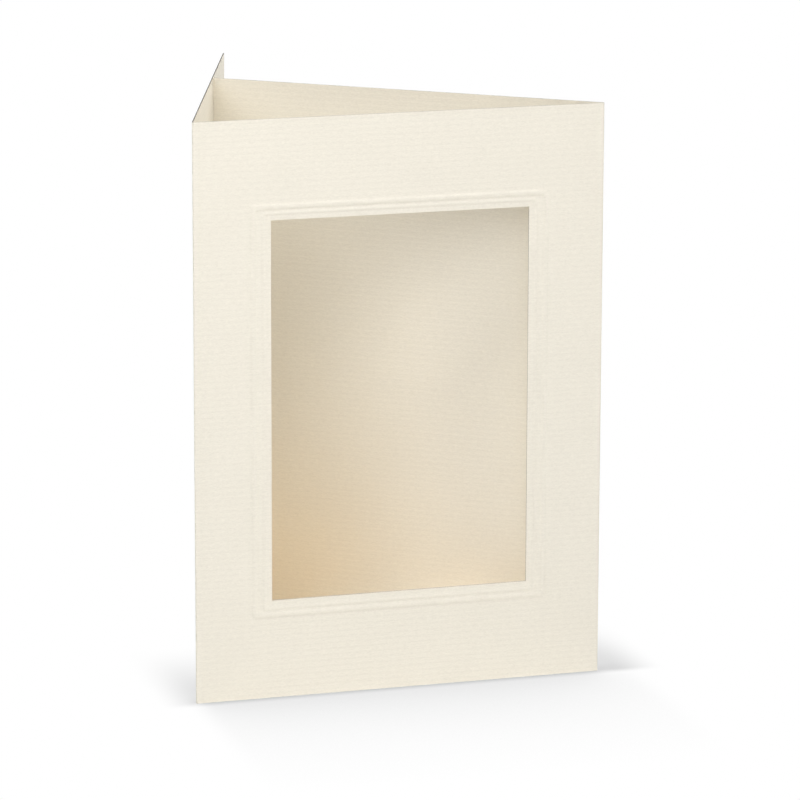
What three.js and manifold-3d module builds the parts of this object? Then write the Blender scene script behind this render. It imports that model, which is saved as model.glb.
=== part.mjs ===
// A passe-partout card: one sheet of ribbed ivory card, die-cut, embossed and folded twice.
// Millimetres, +Z up. The framed front faces -Y, and the origin is under the middle of the standing card.
// The back panel swings away from the left fold and the inner flap from the right fold, and the
// flap's free edge comes to rest beside the inner face of the back panel, so that the card stands.
import * as THREE from "three";
import { mergeVertices } from "three/addons/utils/BufferGeometryUtils.js";
import Module from "manifold-3d";

// The sheet. Panel widths are taken from score to score, or from a score to a cut edge, on the flat blank.
const SHEET_THICKNESS = 0.3;
const CARD_HEIGHT = 169;
const FRONT_WIDTH = 121.3;
const BACK_WIDTH = 122.2;
const FLAP_WIDTH = 120.6;

// The folds. The stand is set by how far along the back panel the flap's free edge rests.
const FOLD_INNER_RADIUS = 0.1;
const FOLD_STEPS = 10;
const FLAP_REST_DISTANCE = 75.3;
const FLAP_EDGE_CLEARANCE = 0.1;

// The window, cut with a margin to the scores at its sides and to the cut edges above and below.
const WINDOW_SIDE_MARGIN = 22.4;
const WINDOW_END_MARGIN = 29;
const WINDOW_CORNER_RADIUS = 0.25;

// The embossed frame: two raised ridges around the window. Distances run outwards from the window's
// edge to a ridge's middle, and the embossing sits a little low of the window, as the die left it.
const INNER_RIDGE = { sideDistance: 2.2, endDistance: 2.2, halfWidth: 0.65, flankWidth: 0.5, height: 0.12 };
const OUTER_RIDGE = { sideDistance: 5.15, endDistance: 4.1, halfWidth: 0.95, flankWidth: 0.6, height: 0.2 };
const EMBOSS_DROP = 0.2;
const OUTER_RIDGE_CORNER_RADIUS = 1.1;
const FLANK_STEPS = 4;
const CORNER_STEPS = 4;
const FLAT_BORDER = 1.2;

const CARD_COLOUR = 0xf0e9da;
const CARD_ROUGHNESS = 0.85;

// The solving of the right fold's angle: the number of steps, and the small turn that gives the slope.
const CLOSING_STEPS = 12;
const CLOSING_TURN = 1e-5;

// Points nearer to each other than this are one, and the window's cutter runs this far past both faces.
const MERGE_DISTANCE = 1e-5;
const CUTTER_OVERRUN = 1;

const NEUTRAL_RADIUS = FOLD_INNER_RADIUS + SHEET_THICKNESS / 2;
const FOLD_OUTER_RADIUS = FOLD_INNER_RADIUS + SHEET_THICKNESS;

const wasm = await Module();
wasm.setup();

// A closed geometry as a solid, with its shared vertices merged.
function solidOf(geometry) {
  geometry.deleteAttribute("normal");
  geometry.deleteAttribute("uv");
  const merged = mergeVertices(geometry, MERGE_DISTANCE);
  return new wasm.Manifold(
    new wasm.Mesh({
      numProp: 3,
      vertProperties: merged.attributes.position.array,
      triVerts: new Uint32Array(merged.index.array),
    }),
  );
}

// A solid as a geometry with flat faces.
function geometryOf(solid) {
  const mesh = solid.getMesh();
  const indexed = new THREE.BufferGeometry();
  indexed.setAttribute("position", new THREE.BufferAttribute(mesh.vertProperties, mesh.numProp));
  indexed.setIndex(new THREE.BufferAttribute(mesh.triVerts, 1));
  const geometry = indexed.toNonIndexed();
  geometry.computeVertexNormals();
  return geometry;
}

// The length of sheet that a fold takes up along the neutral line, for the angle left between its panels.
function foldLength(openAngle) {
  return (Math.PI - openAngle) * NEUTRAL_RADIUS;
}

// How far the centre of a fold lies from the corner where its two outer faces would meet.
function foldSetback(openAngle) {
  return FOLD_OUTER_RADIUS / Math.tan(openAngle / 2);
}

// A panel's flat length beyond a fold, from its width to the score.
function flatLength(width, openAngle) {
  return width - foldLength(openAngle) / 2;
}

// The distance between the corners where the front's outer face would meet those of its neighbours.
function frontCornerDistance(leftAngle, rightAngle) {
  const flat = FRONT_WIDTH - foldLength(leftAngle) / 2 - foldLength(rightAngle) / 2;
  return foldSetback(leftAngle) + flat + foldSetback(rightAngle);
}

// The angle of a triangle between two of its sides, by the law of cosines.
function triangleAngle(sideA, sideB, opposite) {
  return Math.acos((sideA ** 2 + sideB ** 2 - opposite ** 2) / (2 * sideA * sideB));
}

// How far the flap's cut edge stays from the inner face of the back panel, at the nearer of its corners.
function flapEdgeGap(leftAngle, rightAngle) {
  const flapReach = foldSetback(rightAngle) + flatLength(FLAP_WIDTH, rightAngle);
  const edgeX = frontCornerDistance(leftAngle, rightAngle) - flapReach * Math.cos(rightAngle);
  const edgeY = flapReach * Math.sin(rightAngle);
  const outerCorner = edgeX * Math.sin(leftAngle) - edgeY * Math.cos(leftAngle);
  const innerCorner = outerCorner + SHEET_THICKNESS * Math.cos(leftAngle + rightAngle);
  return Math.min(outerCorner, innerCorner) - SHEET_THICKNESS;
}

// The angles left open at the two folds. The triangle of front, flap and back gives them nearly, and
// the right one is then turned by Newton's steps until the flap's edge has its clearance.
function foldAngles() {
  const left = triangleAngle(FRONT_WIDTH, FLAP_REST_DISTANCE, FLAP_WIDTH);
  let right = triangleAngle(FRONT_WIDTH, FLAP_WIDTH, FLAP_REST_DISTANCE);
  for (let step = 0; step < CLOSING_STEPS; step += 1) {
    const gap = flapEdgeGap(left, right);
    const gapPerRadian = (flapEdgeGap(left, right + CLOSING_TURN) - gap) / CLOSING_TURN;
    right -= (gap - FLAP_EDGE_CLEARANCE) / gapPerRadian;
  }
  return { left, right };
}

// The plan of the folded sheet: out along the outer faces from the back panel's cut edge, round both
// folds to the flap's cut edge, and back along the inner faces. The front's outer face lies on y = 0.
function sheetSection(leftAngle, rightAngle) {
  const leftCentre = new THREE.Vector2(foldSetback(leftAngle), FOLD_OUTER_RADIUS);
  const rightCentreX = frontCornerDistance(leftAngle, rightAngle) - foldSetback(rightAngle);
  const rightCentre = new THREE.Vector2(rightCentreX, FOLD_OUTER_RADIUS);
  const alongBack = new THREE.Vector2(Math.cos(leftAngle), Math.sin(leftAngle));
  const alongFlap = new THREE.Vector2(-Math.cos(rightAngle), Math.sin(rightAngle));
  const outOfBack = new THREE.Vector2(-alongBack.y, alongBack.x);
  const outOfFlap = new THREE.Vector2(alongFlap.y, -alongFlap.x);
  const backTip = leftCentre.clone().addScaledVector(alongBack, flatLength(BACK_WIDTH, leftAngle));
  const flapTip = rightCentre.clone().addScaledVector(alongFlap, flatLength(FLAP_WIDTH, rightAngle));
  const backEnd = (radius) => backTip.clone().addScaledVector(outOfBack, radius);
  const flapEnd = (radius) => flapTip.clone().addScaledVector(outOfFlap, radius);
  const down = -Math.PI / 2;
  const leftStart = down - (Math.PI - leftAngle);
  const rightStop = down + (Math.PI - rightAngle);
  const section = new THREE.Shape();
  const start = backEnd(FOLD_OUTER_RADIUS);
  const leftFoldStart = leftCentre.clone().addScaledVector(outOfBack, FOLD_OUTER_RADIUS);
  section.moveTo(start.x, start.y);
  section.lineTo(leftFoldStart.x, leftFoldStart.y);
  section.absarc(leftCentre.x, leftCentre.y, FOLD_OUTER_RADIUS, leftStart, down, false);
  section.absarc(rightCentre.x, rightCentre.y, FOLD_OUTER_RADIUS, down, rightStop, false);
  const flapOuter = flapEnd(FOLD_OUTER_RADIUS);
  const flapInner = flapEnd(FOLD_INNER_RADIUS);
  section.lineTo(flapOuter.x, flapOuter.y);
  section.lineTo(flapInner.x, flapInner.y);
  section.absarc(rightCentre.x, rightCentre.y, FOLD_INNER_RADIUS, rightStop, down, true);
  section.absarc(leftCentre.x, leftCentre.y, FOLD_INNER_RADIUS, down, leftStart, true);
  const stop = backEnd(FOLD_INNER_RADIUS);
  section.lineTo(stop.x, stop.y);
  section.closePath();
  return section;
}

function foldedSheet(leftAngle, rightAngle) {
  const options = { depth: CARD_HEIGHT, bevelEnabled: false, curveSegments: FOLD_STEPS };
  return solidOf(new THREE.ExtrudeGeometry(sheetSection(leftAngle, rightAngle), options));
}

// The height of a ridge at a distance from its middle: a level crest with smooth flanks.
function ridgeHeight(ridge, distance) {
  const intoFlank = (Math.abs(distance) - (ridge.halfWidth - ridge.flankWidth)) / ridge.flankWidth;
  const share = Math.min(Math.max(intoFlank, 0), 1);
  return ridge.height * (1 + Math.cos(Math.PI * share)) / 2;
}

// The stations of one ridge, from the window outwards, each with its distances at the sides and ends.
function ridgeStations(ridge) {
  const crest = ridge.halfWidth - ridge.flankWidth;
  const distances = [];
  for (let step = 0; step <= FLANK_STEPS; step += 1) {
    distances.push(-ridge.halfWidth + (ridge.flankWidth * step) / FLANK_STEPS);
  }
  for (let step = 0; step <= FLANK_STEPS; step += 1) {
    distances.push(crest + (ridge.flankWidth * step) / FLANK_STEPS);
  }
  return distances.map((distance) => ({
    side: ridge.sideDistance + distance,
    end: ridge.endDistance + distance,
    rise: ridgeHeight(ridge, distance),
    drop: EMBOSS_DROP,
  }));
}

// Every station of the embossed frame, from the cut edge of the window to the flat border outside.
function frameStations() {
  const windowEdge = { side: 0, end: 0, rise: 0, drop: 0 };
  const border = {
    side: OUTER_RIDGE.sideDistance + OUTER_RIDGE.halfWidth + FLAT_BORDER,
    end: OUTER_RIDGE.endDistance + OUTER_RIDGE.halfWidth + FLAT_BORDER,
    rise: 0,
    drop: EMBOSS_DROP,
  };
  return [windowEdge, ...ridgeStations(INNER_RIDGE), ...ridgeStations(OUTER_RIDGE), border];
}

// The window's half sizes and its middle, in the plan of the front panel.
function windowPlace(leftAngle) {
  const leftScoreX = foldSetback(leftAngle) - foldLength(leftAngle) / 2;
  return {
    centreX: leftScoreX + FRONT_WIDTH / 2,
    centreZ: CARD_HEIGHT / 2,
    halfWidth: FRONT_WIDTH / 2 - WINDOW_SIDE_MARGIN,
    halfHeight: CARD_HEIGHT / 2 - WINDOW_END_MARGIN,
  };
}

// One turn of the frame at a station: a rectangle around the window with rounded corners, as points
// of x and z. The corners grow rounder from the window to the outer ridge.
function frameTurn(place, station) {
  const share = Math.min(station.end / OUTER_RIDGE.endDistance, 1);
  const radius = WINDOW_CORNER_RADIUS + (OUTER_RIDGE_CORNER_RADIUS - WINDOW_CORNER_RADIUS) * share;
  const reachX = place.halfWidth + station.side - radius;
  const reachZ = place.halfHeight + station.end - radius;
  const points = [];
  for (let quarter = 0; quarter < 4; quarter += 1) {
    const sideways = quarter === 0 || quarter === 3 ? 1 : -1;
    const upwards = quarter < 2 ? 1 : -1;
    for (let step = 0; step <= CORNER_STEPS; step += 1) {
      const angle = (quarter + step / CORNER_STEPS) * (Math.PI / 2);
      const x = place.centreX + sideways * reachX + radius * Math.cos(angle);
      const z = place.centreZ - station.drop + upwards * reachZ + radius * Math.sin(angle);
      points.push(new THREE.Vector2(x, z));
    }
  }
  return points;
}

// The embossed frame as a closed ring, lofted turn by turn: outwards over the front face with its
// ridges raised towards -Y, and back inwards over the rear face, whose hollows follow the ridges.
function embossedFrame(place) {
  const stations = frameStations();
  const front = stations.map((station) => ({ station, y: -station.rise }));
  const rear = stations.map((station) => ({ station, y: SHEET_THICKNESS - station.rise })).reverse();
  const loop = [...front, ...rear];
  const turnPoints = 4 * (CORNER_STEPS + 1);
  const positions = [];
  loop.forEach(({ station, y }) => {
    frameTurn(place, station).forEach((point) => positions.push(point.x, y, point.y));
  });
  const indices = [];
  loop.forEach((_, row) => {
    const nextRow = (row + 1) % loop.length;
    for (let column = 0; column < turnPoints; column += 1) {
      const nextColumn = (column + 1) % turnPoints;
      const here = row * turnPoints + column;
      const along = row * turnPoints + nextColumn;
      const outward = nextRow * turnPoints + column;
      const across = nextRow * turnPoints + nextColumn;
      indices.push(here, outward, across, here, across, along);
    }
  });
  const geometry = new THREE.BufferGeometry();
  geometry.setAttribute("position", new THREE.Float32BufferAttribute(positions, 3));
  geometry.setIndex(indices);
  return solidOf(geometry);
}

// The block that clears the flat sheet where the embossed frame takes its place, up to the middle of
// the frame's flat border, and runs past both faces of the front panel.
function frameClearance(place) {
  const station = frameStations().at(-1);
  const inner = { ...station, side: station.side - FLAT_BORDER / 2, end: station.end - FLAT_BORDER / 2 };
  const options = { depth: SHEET_THICKNESS + 2 * CUTTER_OVERRUN, bevelEnabled: false };
  const block = new THREE.ExtrudeGeometry(new THREE.Shape(frameTurn(place, inner)), options);
  block.rotateX(Math.PI / 2);
  block.translate(0, SHEET_THICKNESS + CUTTER_OVERRUN, 0);
  return solidOf(block);
}

function foldedCard() {
  const angles = foldAngles();
  const place = windowPlace(angles.left);
  const sheet = foldedSheet(angles.left, angles.right).subtract(frameClearance(place));
  const geometry = geometryOf(sheet.add(embossedFrame(place)));
  geometry.computeBoundingBox();
  const middle = geometry.boundingBox.getCenter(new THREE.Vector3());
  geometry.translate(-middle.x, -middle.y, 0);
  const material = new THREE.MeshStandardMaterial({
    color: CARD_COLOUR,
    roughness: CARD_ROUGHNESS,
    metalness: 0,
  });
  const card = new THREE.Mesh(geometry, material);
  card.name = "folded_card";
  return card;
}

const passePartoutCard = new THREE.Group();
passePartoutCard.add(foldedCard());

export default passePartoutCard;
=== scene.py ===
"""The looks of a passe-partout card: one sheet of ribbed ivory card with a window in an embossed frame.

Metres, +Z up. The framed front faces -Y. The sheet is laid out flat first, with a place along its width
and a height on every point, and then folded round its two scores.
"""

import math

import bpy
import numpy as np
from mathutils import Matrix, Vector


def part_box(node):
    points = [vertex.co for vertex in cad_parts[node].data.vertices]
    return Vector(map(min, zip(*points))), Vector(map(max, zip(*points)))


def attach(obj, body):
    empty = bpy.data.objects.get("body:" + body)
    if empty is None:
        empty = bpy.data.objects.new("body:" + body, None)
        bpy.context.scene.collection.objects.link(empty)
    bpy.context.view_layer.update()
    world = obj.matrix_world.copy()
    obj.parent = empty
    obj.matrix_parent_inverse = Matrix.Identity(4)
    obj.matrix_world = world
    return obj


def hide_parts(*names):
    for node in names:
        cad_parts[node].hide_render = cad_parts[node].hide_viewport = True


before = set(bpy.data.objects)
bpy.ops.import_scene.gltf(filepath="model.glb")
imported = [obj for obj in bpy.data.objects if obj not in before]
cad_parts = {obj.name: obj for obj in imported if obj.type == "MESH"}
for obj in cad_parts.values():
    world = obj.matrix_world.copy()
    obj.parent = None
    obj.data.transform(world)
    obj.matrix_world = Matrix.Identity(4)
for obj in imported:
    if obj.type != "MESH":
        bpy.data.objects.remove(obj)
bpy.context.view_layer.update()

MM = 0.001

# The sheet and its panels, from score to score or from a score to a cut edge
SHEET = 0.3 * MM
FRONT_WIDTH = 121.3 * MM
BACK_WIDTH = 122.2 * MM
FLAP_WIDTH = 120.6 * MM
FLAP_REST_DISTANCE = 75.3 * MM
FLAP_EDGE_CLEARANCE = 0.1 * MM
FOLD_INNER_RADIUS = 0.1 * MM
NEUTRAL_RADIUS = FOLD_INNER_RADIUS + SHEET / 2
FOLD_OUTER_RADIUS = FOLD_INNER_RADIUS + SHEET

# The window and the two raised ridges of the embossed frame around it
WINDOW_SIDE_MARGIN = 22.4 * MM
WINDOW_END_MARGIN = 29 * MM
INNER_RIDGE = dict(side=2.2 * MM, end=2.2 * MM, half=0.65 * MM, flank=0.5 * MM, height=0.12 * MM)
OUTER_RIDGE = dict(side=5.15 * MM, end=4.1 * MM, half=0.95 * MM, flank=0.6 * MM, height=0.2 * MM)
EMBOSS_DROP = 0.2 * MM
EMBOSS_FULLNESS = 1.35
WINDOW_CORNER_RADIUS = 0.25 * MM
OUTER_RIDGE_CORNER_RADIUS = 1.1 * MM

# The ribs that the rolls pressed into both faces, in pairs of one strong and one weak rib
RIB_PITCH = 0.86 * MM
RIB_HEIGHT = 0.0055 * MM
PAIR_HEIGHT = 0.0045 * MM
OUTER_RIB_PHASE = 0.25

# How finely the mesh follows the sheet
ROWS_PER_RIB = 4
FOLD_STEPS = 6
FLANK_LINES = 5
CORNER_ROUNDS = 24
SMOOTH_ANGLE = math.radians(50)

# The paper's clouds, streaks and fibres: how fine, how short along the ribs, and their shares of its tone
CLOUD_SCALE = 90.0
STREAK_SCALE = 2200.0
FIBRE_SCALE = 3200.0
STREAK_STRETCH = (0.26, 1.0, 1.0)
FIBRE_STRETCH = (0.45, 1.0, 1.0)
CLOUD_DEPTH = 0.2
STREAK_DEPTH = 0.9
FIBRE_DEPTH = 1.1
RIB_TONE = 0.07
GRAIN_RELIEF = 0.012 * MM
PULP_SCALE = 3000.0
INNER_PATTERN_OFFSET = 0.1

# The painted shade along the right score, and how far the cut edge takes to change its colour at a corner
SCORE_SHADE_WIDTH = 0.5 * MM
SCORE_SHADE_DEPTH = 0.35
SCORE_SHADE_STREAKS = 0.6
EDGE_BLEND = 1 * MM

# Colours as they show on screen, from 0 to 255
PAPER = ((239, 233, 219), (252, 246, 232))
# The painted shade along the right score
SCORE_SHADE_PAPER = (222, 214, 197)
# The cut edges are painted darker than the faces as painted shade, the back panel's edge darkest
CUT_EDGE = ((150, 144, 133), (180, 174, 162))
BACK_EDGE_SHADE = (108, 104, 98)
FLAP_CUT_END = (246, 239, 225)

# The camera's place and lens, and the turns of its view in degrees
CAMERA_PLACE = Vector((-0.383299, -1.339778, 0.400386))
CAMERA_YAW = 16.6444
CAMERA_PITCH = 13.2397
CAMERA_ROLL = 0.16
CAMERA_LENS = 215.98
SENSOR_WIDTH = 36

# The lamps: name, place, aim, size, power and colour. The last two stand inside the folded card at its
# foot and give the warm light that its own faces throw on one another there.
WORLD_LIGHT = 0.1
WHITE = (1.0, 1.0, 1.0, 1.0)
AMBER = (1.0, 0.67, 0.3, 1.0)
PEACH = (1.0, 0.82, 0.66, 1.0)
LAMPS = (
    ("right", (1.6, 0, 0.8), (0, 0, 0.08), 1.0, 9.8, WHITE),
    ("front_right", (1.2, -1.2, 0.8), (0, 0, 0.08), 1.0, 6.8, WHITE),
    ("front_left", (-1.2, -1.2, 0.8), (0, 0, 0.08), 1.0, 1.3, WHITE),
    ("behind", (-0.6, 1.6, 0.8), (0, 0, 0.08), 1.0, 9.0, WHITE),
    ("above", (-0.1, -0.25, 0.75), (-0.02, 0.03, 0), 0.15, 1.14, WHITE),
    ("near_left", (-0.43, -0.57, 0.5), (0, 0, 0.1), 0.5, 2.35, WHITE),
    ("near_right", (0.5, -0.6, 0.5), (0, 0, 0.1), 0.7, 0.45, WHITE),
    ("low_front", (-0.2, -1.1, 0.12), (0, 0, 0.08), 0.2, 0.52, WHITE),
    ("foot_left", (-0.03, -0.04, 0.004), (-0.05, -0.015, 0.05), 0.02, 0.0052, AMBER),
    ("foot_right", (0.02, -0.045, 0.005), (0.02, -0.03, 0.06), 0.012, 0.0018, PEACH),
)

# The floor, and how far and how deep the card's painted shade reaches on it, in the floor's emission to the
# camera. The shade lies a little to the right.
FLOOR_HALF_SIZE = 4.0
FLOOR_COLOUR = (0.9, 0.9, 0.9, 1.0)
OPEN_SHADE = dict(depth=0.4, reach=90 * MM, side=9 * MM, back_start=-2 * MM, back_end=8 * MM)
OPEN_SHADE_SAMPLES = 4
FOOT_SHADE = dict(depth=0.26, side=16 * MM, back_start=2 * MM, back_end=60 * MM)
FOOT_SHADE_FRONT = (1 * MM, -4 * MM)
SHADE_SHIFT = 5 * MM


# A Mix node has inputs and outputs of one name for each kind of value, so its colours go by number
MIX_COLOUR_A = 6
MIX_COLOUR_B = 7
MIX_COLOUR_RESULT = 2


class Wire:
    """A socket in a material's tree. Python's operators on it add Math nodes."""

    def __init__(self, shader, socket):
        self.shader = shader
        self.socket = socket

    def math(self, operation, *others, swap=False):
        operands = (*others, self) if swap else (self, *others)
        return self.shader.node("ShaderNodeMath", dict(operation=operation), dict(enumerate(operands)))

    def __add__(self, other):
        return self.math("ADD", other)

    def __sub__(self, other):
        return self.math("SUBTRACT", other)

    def __rsub__(self, other):
        return self.math("SUBTRACT", other, swap=True)

    def __mul__(self, other):
        return self.math("MULTIPLY", other)

    __radd__ = __add__
    __rmul__ = __mul__


class Shader:
    """The nodes of a material or the world, added one by one from sockets and plain values."""

    def __init__(self, owner):
        self.owner = bpy.data.materials.new(owner) if isinstance(owner, str) else owner
        self.owner.use_nodes = True
        self.tree = self.owner.node_tree
        self.tree.nodes.clear()

    def node(self, kind, settings=None, inputs=None, output=0):
        made = self.tree.nodes.new(kind)
        for name, value in (settings or {}).items():
            setattr(made, name, value)
        for name, value in (inputs or {}).items():
            if isinstance(value, Wire):
                self.tree.links.new(value.socket, made.inputs[name])
            else:
                made.inputs[name].default_value = value
        return Wire(self, made.outputs[output]) if made.outputs else None

    def mix(self, share, colour_a, colour_b):
        inputs = {"Factor": share, MIX_COLOUR_A: colour_a, MIX_COLOUR_B: colour_b}
        return self.node("ShaderNodeMix", dict(data_type="RGBA"), inputs, output=MIX_COLOUR_RESULT)

    def mix_surfaces(self, share, surface_a, surface_b):
        return self.node("ShaderNodeMixShader", None, {0: share, 1: surface_a, 2: surface_b})

    def along(self, axis, place):
        return self.node("ShaderNodeSeparateXYZ", None, {"Vector": place}, output=axis)

    def blank_place(self):
        """The place on the flat blank: X across its width, Y up its height."""
        return self.node("ShaderNodeAttribute", dict(attribute_name="blank"), output="Vector")

    def object_place(self):
        return self.node("ShaderNodeTexCoord", output="Object")

    def noise(self, place, scale, detail):
        return self.node("ShaderNodeTexNoise", None, {"Vector": place, "Scale": scale, "Detail": detail})

    def stretched(self, place, stretch):
        inputs = {0: place, 1: stretch}
        return self.node("ShaderNodeVectorMath", dict(operation="MULTIPLY"), inputs)

    def finish(self, surface):
        self.node("ShaderNodeOutputMaterial", None, {"Surface": surface})
        return self.owner


def rgba(colour):
    """A colour as it shows on screen, from 0 to 255, as the linear colour that a socket takes."""
    linear = [((value / 255 + 0.055) / 1.055) ** 2.4 for value in colour]
    return (*linear, 1.0)


# The folds

def fold_length(open_angle):
    return (math.pi - open_angle) * NEUTRAL_RADIUS


def fold_setback(open_angle):
    return FOLD_OUTER_RADIUS / math.tan(open_angle / 2)


def triangle_angle(side_a, side_b, opposite):
    return math.acos((side_a**2 + side_b**2 - opposite**2) / (2 * side_a * side_b))


def front_corner_distance(left, right):
    flat = FRONT_WIDTH - (fold_length(left) + fold_length(right)) / 2
    return fold_setback(left) + flat + fold_setback(right)


def flap_edge_gap(left, right):
    """How far the flap's cut edge stays from the inner face of the back panel."""
    reach = fold_setback(right) + FLAP_WIDTH - fold_length(right) / 2
    edge_x = front_corner_distance(left, right) - reach * math.cos(right)
    edge_y = reach * math.sin(right)
    outer_corner = edge_x * math.sin(left) - edge_y * math.cos(left)
    inner_corner = outer_corner + SHEET * math.cos(left + right)
    return min(outer_corner, inner_corner) - SHEET


def fold_angles(rounds=12, turn=1e-5):
    """The angles left open at the folds, with the flap's edge just clear of the back panel."""
    left = triangle_angle(FRONT_WIDTH, FLAP_REST_DISTANCE, FLAP_WIDTH)
    right = triangle_angle(FRONT_WIDTH, FLAP_WIDTH, FLAP_REST_DISTANCE)
    for _ in range(rounds):
        gap = flap_edge_gap(left, right)
        slope = (flap_edge_gap(left, right + turn) - gap) / turn
        right -= (gap - FLAP_EDGE_CLEARANCE) / slope
    return left, right


LEFT_FOLD, RIGHT_FOLD = fold_angles()
CARD_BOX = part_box("folded_card")
CARD_HEIGHT = CARD_BOX[1][2] - CARD_BOX[0][2]

# Where the flat sheet's stretches begin, along its width from the back panel's cut edge
LEFT_FOLD_START = BACK_WIDTH - fold_length(LEFT_FOLD) / 2
FRONT_START = LEFT_FOLD_START + fold_length(LEFT_FOLD)
LEFT_SCORE = BACK_WIDTH
RIGHT_SCORE = LEFT_SCORE + FRONT_WIDTH
RIGHT_FOLD_START = RIGHT_SCORE - fold_length(RIGHT_FOLD) / 2
FLAP_START = RIGHT_FOLD_START + fold_length(RIGHT_FOLD)
SHEET_WIDTH = RIGHT_SCORE + FLAP_WIDTH

# Where the folds' centres stand, with the front's outer face on the plane behind the ridges' crests
FRONT_FACE_Y = CARD_BOX[0][1] + OUTER_RIDGE["height"]
FOLD_CENTRE_Y = FRONT_FACE_Y + FOLD_OUTER_RADIUS
LEFT_CENTRE_X = CARD_BOX[0][0] + FOLD_OUTER_RADIUS
RIGHT_CENTRE_X = CARD_BOX[1][0] - FOLD_OUTER_RADIUS


def folded(across):
    """Where places along the flat sheet's width come to lie in plan, with the outward directions there.

    The places lie on the sheet's middle layer.
    """
    base_x = LEFT_CENTRE_X + (across - FRONT_START)
    base_y = np.full_like(across, FOLD_CENTRE_Y)
    left_arc = np.clip((FRONT_START - across) / NEUTRAL_RADIUS, 0, math.pi - LEFT_FOLD)
    right_arc = np.clip((across - RIGHT_FOLD_START) / NEUTRAL_RADIUS, 0, math.pi - RIGHT_FOLD)
    on_left = across < FRONT_START
    on_right = across > RIGHT_FOLD_START
    turned = np.where(on_left, -left_arc, np.where(on_right, right_arc, 0))
    past_left = np.clip(LEFT_FOLD_START - across, 0, None)
    past_right = np.clip(across - FLAP_START, 0, None)
    base_x = np.where(on_left, LEFT_CENTRE_X + past_left * math.cos(LEFT_FOLD), base_x)
    base_y = np.where(on_left, FOLD_CENTRE_Y + past_left * math.sin(LEFT_FOLD), base_y)
    base_x = np.where(on_right, RIGHT_CENTRE_X - past_right * math.cos(RIGHT_FOLD), base_x)
    base_y = np.where(on_right, FOLD_CENTRE_Y + past_right * math.sin(RIGHT_FOLD), base_y)
    outward = np.stack([np.sin(turned), -np.cos(turned)], axis=-1)
    middle = np.stack([base_x, base_y], axis=-1) + outward * NEUTRAL_RADIUS
    return middle, outward


# The embossed frame

WINDOW_LEFT = LEFT_SCORE + WINDOW_SIDE_MARGIN
WINDOW_RIGHT = RIGHT_SCORE - WINDOW_SIDE_MARGIN
WINDOW_LOW = WINDOW_END_MARGIN
WINDOW_HIGH = CARD_HEIGHT - WINDOW_END_MARGIN


def ridge_height(ridge, distance):
    into_flank = (np.abs(distance - ridge["end"]) - (ridge["half"] - ridge["flank"])) / ridge["flank"]
    return ridge["height"] * (1 + np.cos(math.pi * np.clip(into_flank, 0, 1))) / 2


def as_end_distance(side_distance):
    """A distance beside the window as the distance above it where the same turn of the frame runs."""
    side_stations = [0, INNER_RIDGE["side"] + INNER_RIDGE["half"], OUTER_RIDGE["side"] - OUTER_RIDGE["half"]]
    end_stations = [0, INNER_RIDGE["end"] + INNER_RIDGE["half"], OUTER_RIDGE["end"] - OUTER_RIDGE["half"]]
    beyond = np.clip(side_distance - side_stations[-1], 0, None)
    return np.interp(side_distance, side_stations, end_stations) + beyond


def relief(across, height):
    """How far the embossing raises the sheet, at places on the flat blank."""
    middle = (WINDOW_LEFT + WINDOW_RIGHT) / 2
    centre = (WINDOW_LOW + WINDOW_HIGH) / 2 - EMBOSS_DROP
    beside = as_end_distance(np.abs(across - middle) - (WINDOW_RIGHT - WINDOW_LEFT) / 2)
    above = np.abs(height - centre) - (WINDOW_HIGH - WINDOW_LOW) / 2
    turn = np.maximum(beside, above)
    for _ in range(CORNER_ROUNDS):
        share = np.clip(turn / OUTER_RIDGE["end"], 0, 1)
        radius = WINDOW_CORNER_RADIUS + (OUTER_RIDGE_CORNER_RADIUS - WINDOW_CORNER_RADIUS) * share
        inside = turn - radius
        round_corner = inside + np.hypot(np.clip(beside - inside, 0, None), np.clip(above - inside, 0, None))
        turn = np.where((beside > inside) & (above > inside), round_corner, turn)
    return EMBOSS_FULLNESS * (ridge_height(INNER_RIDGE, turn) + ridge_height(OUTER_RIDGE, turn))


def ribs(height, phase):
    """The height of the pressed ribs over a face, which run along the sheet's width."""
    along = 2 * math.pi * (height / RIB_PITCH + phase)
    return RIB_HEIGHT * np.cos(along) + PAIR_HEIGHT * np.cos(along / 2)


# The mesh of the sheet

def steps(start, stop, count):
    return list(np.linspace(start, stop, count + 1)[:-1])


def ridge_lines(ridge):
    """The distances from the window at which one ridge needs a line of the mesh."""
    crest = ridge["half"] - ridge["flank"]
    flank = np.linspace(-ridge["half"], -crest, FLANK_LINES)
    return list(ridge["side"] + np.concatenate([flank, -flank[::-1]]))


def lines_across():
    """The places along the blank's width where the mesh has its upright lines."""
    frame_lines = ridge_lines(INNER_RIDGE) + ridge_lines(OUTER_RIDGE)
    frame_end = OUTER_RIDGE["side"] + 3 * OUTER_RIDGE["half"]
    lines = [0] + steps(LEFT_FOLD_START, FRONT_START, FOLD_STEPS) + [FRONT_START, WINDOW_LEFT - frame_end]
    lines += [WINDOW_LEFT - distance for distance in reversed(frame_lines)]
    lines += [WINDOW_LEFT, WINDOW_RIGHT]
    lines += [WINDOW_RIGHT + distance for distance in frame_lines]
    lines += [WINDOW_RIGHT + frame_end] + steps(RIGHT_FOLD_START, FLAP_START, FOLD_STEPS)
    lines += [FLAP_START, SHEET_WIDTH]
    return np.array(lines)


def lines_up():
    """The heights at which the mesh has its level lines, with two of them on the window's edges."""
    count = round(CARD_HEIGHT / RIB_PITCH * ROWS_PER_RIB)
    lines = np.linspace(0, CARD_HEIGHT, count + 1)
    for edge in (WINDOW_LOW, WINDOW_HIGH):
        lines[np.argmin(np.abs(lines - edge))] = edge
    return lines


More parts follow.
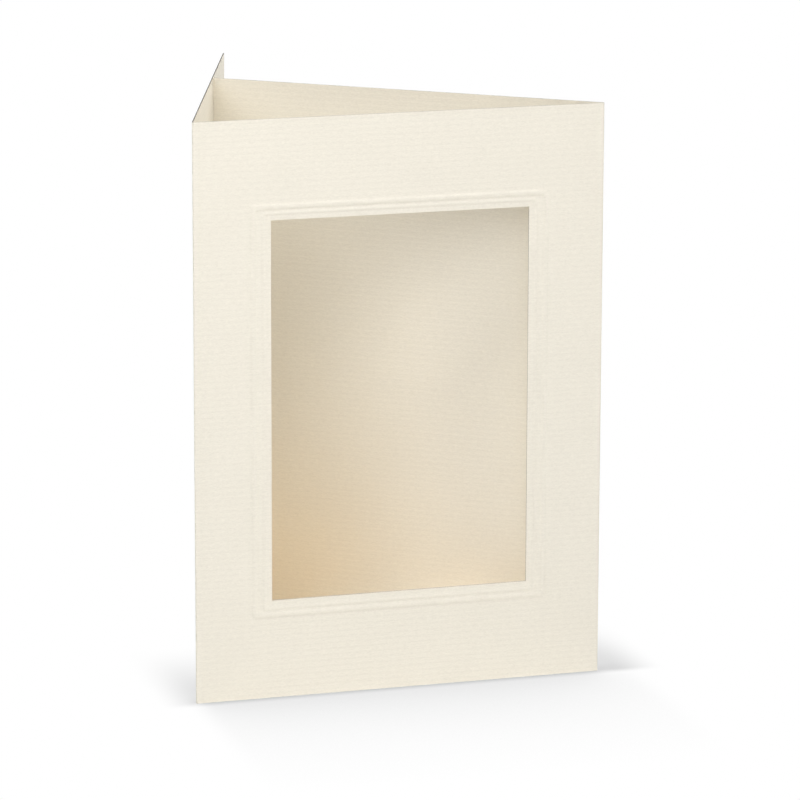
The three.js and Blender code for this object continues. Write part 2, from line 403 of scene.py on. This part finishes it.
def sheet_points(across, height, side):
    """The points of one face of the folded sheet. side is 1 on the outer face and -1 on the inner one."""
    middle, outward = folded(across)
    raised = relief(across, height) * ((across > LEFT_SCORE) & (across < RIGHT_SCORE))
    face = side * (SHEET / 2 + ribs(height, OUTER_RIB_PHASE * side))
    offset = (raised + face)[..., None]
    plan = middle + outward * offset
    return np.concatenate([plan, height[..., None]], axis=-1)


def window_cells(across, height):
    """Which cells of the blank's grid lie in the window."""
    mid_across = (across[:-1, :-1] + across[1:, 1:]) / 2
    mid_up = (height[:-1, :-1] + height[1:, 1:]) / 2
    inside = (mid_across > WINDOW_LEFT) & (mid_across < WINDOW_RIGHT)
    return inside & (mid_up > WINDOW_LOW) & (mid_up < WINDOW_HIGH)


def cut_edges(card_cells, corners, under):
    """The quads that close the cut edges. under is what takes a point's number to the one beneath it."""
    padded = np.pad(card_cells, 1, constant_values=False)
    columns, rows = card_cells.shape
    walls = []
    for step_across, step_up, first, second in ((-1, 0, 3, 0), (1, 0, 1, 2), (0, -1, 0, 1), (0, 1, 2, 3)):
        left, low = 1 + step_across, 1 + step_up
        edge = card_cells & ~padded[left:left + columns, low:low + rows]
        begin, end = corners[first][edge], corners[second][edge]
        walls.append(np.stack([end, begin, begin + under, end + under], axis=-1))
    return np.concatenate(walls)


def folded_sheet():
    """The card's mesh: two faces of quads over the blank, the window left out, and all cut edges closed."""
    across, height = np.meshgrid(lines_across(), lines_up(), indexing="ij")
    outer = sheet_points(across, height, 1)
    inner = sheet_points(across, height, -1)
    points = np.concatenate([outer.reshape(-1, 3), inner.reshape(-1, 3)])
    under = across.size
    index = np.arange(under).reshape(across.shape)
    corners = [index[:-1, :-1], index[1:, :-1], index[1:, 1:], index[:-1, 1:]]
    card_cells = ~window_cells(across, height)
    outer_faces = np.stack([corner[card_cells] for corner in corners], axis=-1)
    inner_faces = outer_faces[:, ::-1] + under
    walls = cut_edges(card_cells, corners, under)
    faces = np.concatenate([outer_faces, inner_faces, walls])
    used = np.unique(faces)
    renumber = np.zeros(len(points), dtype=int)
    renumber[used] = np.arange(len(used))
    mesh = bpy.data.meshes.new("ribbed_card")
    mesh.from_pydata(points[used].tolist(), [], renumber[faces].tolist())
    blank = np.stack([across, height, np.zeros_like(across)], axis=-1).reshape(-1, 3)
    blank_places = np.concatenate([blank, blank + [0, 0, INNER_PATTERN_OFFSET]])
    attribute = mesh.attributes.new("blank", "FLOAT_VECTOR", "POINT")
    attribute.data.foreach_set("vector", blank_places[used].ravel())
    is_wall = np.zeros(len(faces), dtype=np.int32)
    is_wall[-len(walls):] = 1
    mesh.polygons.foreach_set("material_index", is_wall)
    mesh.polygons.foreach_set("use_smooth", np.ones(len(faces), dtype=bool))
    mesh.set_sharp_from_angle(angle=SMOOTH_ANGLE)
    mesh.update()
    card = bpy.data.objects.new("ribbed_card", mesh)
    bpy.context.scene.collection.objects.link(card)
    return card


# The finishes

def fading(shader, value, start, stop):
    """A share that falls softly from 1 to 0 as a value goes from start to stop."""
    inputs = {"Value": value, "From Min": start, "From Max": stop, "To Min": 1.0, "To Max": 0.0}
    return shader.node("ShaderNodeMapRange", dict(interpolation_type="SMOOTHSTEP"), inputs)


def card_stock():
    """Ivory card: clouds in the pulp, streaks along the ribs, short fibres, and painted shade along the
    right score.
    """
    shader = Shader("ivory_ribbed_card")
    place = shader.blank_place()
    clouds = shader.noise(place, CLOUD_SCALE, detail=3.0)
    streaks = shader.noise(shader.stretched(place, STREAK_STRETCH), STREAK_SCALE, detail=1.0)
    fibres = shader.noise(shader.stretched(place, FIBRE_STRETCH), FIBRE_SCALE, detail=1.0)
    tone = clouds * CLOUD_DEPTH + streaks * STREAK_DEPTH + fibres * FIBRE_DEPTH
    tone = tone + (shader.along("Y", place) * (math.pi / RIB_PITCH)).math("SINE") * RIB_TONE
    tone = tone + (1 - CLOUD_DEPTH - STREAK_DEPTH - FIBRE_DEPTH) / 2
    paper = shader.mix(tone, rgba(PAPER[0]), rgba(PAPER[1]))
    # Painted shade: a darker band along the right score, varied by the streaks
    from_score = (shader.along("X", place) - RIGHT_SCORE).math("ABSOLUTE")
    score_shade = fading(shader, from_score, 0, SCORE_SHADE_WIDTH) * (SCORE_SHADE_DEPTH + streaks * SCORE_SHADE_STREAKS)
    colour = shader.mix(score_shade, paper, rgba(SCORE_SHADE_PAPER))
    grain = streaks * 0.6 + fibres * 0.4
    bump_inputs = {"Strength": 0.5, "Distance": GRAIN_RELIEF, "Height": grain}
    bump = shader.node("ShaderNodeBump", None, bump_inputs)
    surface = shader.node("ShaderNodeBsdfPrincipled", None, {
        "Base Color": colour, "Roughness": 0.82, "Specular IOR Level": 0.25, "Normal": bump})
    return shader.finish(surface)


def cut_edge():
    """The cut edge of the card, in painted shade: darker than its faces, most on the back, and pale at the
    flap's end.
    """
    shader = Shader("cut_card_edge")
    layers = shader.noise(shader.object_place(), PULP_SCALE, detail=3.0)
    colour = shader.mix(layers, rgba(CUT_EDGE[0]), rgba(CUT_EDGE[1]))
    across = shader.along("X", shader.blank_place())
    # Painted shade: the back panel's cut edge is made darkest of all
    back_edge_shade = fading(shader, across, LEFT_SCORE - EDGE_BLEND, LEFT_SCORE)
    before_end = fading(shader, across, SHEET_WIDTH - EDGE_BLEND, SHEET_WIDTH)
    colour = shader.mix(back_edge_shade, colour, rgba(BACK_EDGE_SHADE))
    colour = shader.mix(before_end, rgba(FLAP_CUT_END), colour)
    surface = shader.node("ShaderNodeBsdfPrincipled", None, {
        "Base Color": colour, "Roughness": 0.9, "Specular IOR Level": 0.2})
    return shader.finish(surface)


def seen_directly(shader):
    """The share of a ray that comes from the camera, or from it through a mirror or glass."""
    kinds = ("Is Camera Ray", "Is Glossy Ray", "Is Transmission Ray")
    camera, mirror, glass = (shader.node("ShaderNodeLightPath", output=kind) for kind in kinds)
    return camera.math("MAXIMUM", mirror).math("MAXIMUM", glass)


def card_shade(shader):
    """The card's painted shade on the floor: soft where the card hides the sky, and deeper along the front's
    foot.
    """
    place = shader.object_place()
    beside = (shader.along("X", place) - SHADE_SHIFT).math("ABSOLUTE")
    away = shader.along("Y", place) - FRONT_FACE_Y
    half_width = (CARD_BOX[1][0] - CARD_BOX[0][0]) / 2

    def near_card(shade):
        share = fading(shader, beside, half_width, half_width + shade["side"]) * shade["depth"]
        return share * fading(shader, away, shade["back_start"], shade["back_end"])

    settings = dict(samples=OPEN_SHADE_SAMPLES)
    reach = {"Distance": OPEN_SHADE["reach"]}
    openness = shader.node("ShaderNodeAmbientOcclusion", settings, reach, output="AO")
    foot = near_card(FOOT_SHADE) * fading(shader, away, *FOOT_SHADE_FRONT)
    return near_card(OPEN_SHADE) * (1 - openness) + foot


def studio_white():
    """The floor: a pale matt sheet to the light, and to the camera white with the card's soft shade painted
    in.
    """
    shader = Shader("white_floor")
    matt = shader.node("ShaderNodeBsdfDiffuse", None, {"Color": FLOOR_COLOUR})
    white = shader.node("ShaderNodeEmission", None, {"Color": WHITE, "Strength": 1.0})
    dark = shader.node("ShaderNodeEmission", None, {"Color": WHITE, "Strength": 0.0})
    # Painted shade: the card's shade on the floor, drawn into the floor's emission to the camera
    shaded = shader.mix_surfaces(card_shade(shader), white, dark)
    return shader.finish(shader.mix_surfaces(seen_directly(shader), matt, shaded))


# The stage

def add_floor():
    sides = ((-1, -1), (1, -1), (1, 1), (-1, 1))
    corners = [(x * FLOOR_HALF_SIZE, y * FLOOR_HALF_SIZE, 0) for x, y in sides]
    mesh = bpy.data.meshes.new("studio_floor")
    mesh.from_pydata(corners, [], [(0, 1, 2, 3)])
    mesh.materials.append(studio_white())
    floor = bpy.data.objects.new("studio_floor", mesh)
    bpy.context.scene.collection.objects.link(floor)


def add_world(strength):
    """A dim even light from all sides, and white to the camera beyond the floor."""
    world = bpy.data.worlds.new("soft_studio")
    shader = Shader(world)
    light = shader.node("ShaderNodeBackground", None, {"Color": WHITE, "Strength": strength})
    white = shader.node("ShaderNodeBackground", None, {"Color": WHITE, "Strength": 1.0})
    shown = shader.mix_surfaces(seen_directly(shader), light, white)
    shader.node("ShaderNodeOutputWorld", None, {"Surface": shown})
    bpy.context.scene.world = world


def add_lamp(name, place, aim, size, power, colour):
    lamp = bpy.data.lights.new(name, "AREA")
    lamp.shape = "SQUARE"
    lamp.size = size
    lamp.energy = power
    lamp.color = colour[:3]
    holder = bpy.data.objects.new(name, lamp)
    holder.location = place
    holder.rotation_euler = (Vector(aim) - Vector(place)).to_track_quat("-Z", "Y").to_euler()
    bpy.context.scene.collection.objects.link(holder)


def add_camera():
    yaw, pitch, roll = (math.radians(angle) for angle in (CAMERA_YAW, CAMERA_PITCH, CAMERA_ROLL))
    level_right = Vector((math.cos(yaw), -math.sin(yaw), 0))
    forward = Vector((math.sin(yaw) * math.cos(pitch), math.cos(yaw) * math.cos(pitch), -math.sin(pitch)))
    level_up = level_right.cross(forward)
    right = level_right * math.cos(roll) + level_up * math.sin(roll)
    up = right.cross(forward)
    turn = Matrix((right, up, -forward)).transposed().to_4x4()
    lens = bpy.data.cameras.new("studio_camera")
    lens.sensor_width = SENSOR_WIDTH
    lens.lens = CAMERA_LENS
    camera = bpy.data.objects.new("studio_camera", lens)
    camera.matrix_world = Matrix.Translation(CAMERA_PLACE) @ turn
    bpy.context.scene.collection.objects.link(camera)
    bpy.context.scene.camera = camera


add_camera()
add_floor()
add_world(WORLD_LIGHT)
for lamp in LAMPS:
    add_lamp(*lamp)

card = folded_sheet()
card.data.materials.append(card_stock())
card.data.materials.append(cut_edge())
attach(card, "root")
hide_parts("folded_card")

bpy.context.scene.view_settings.view_transform = "Standard"
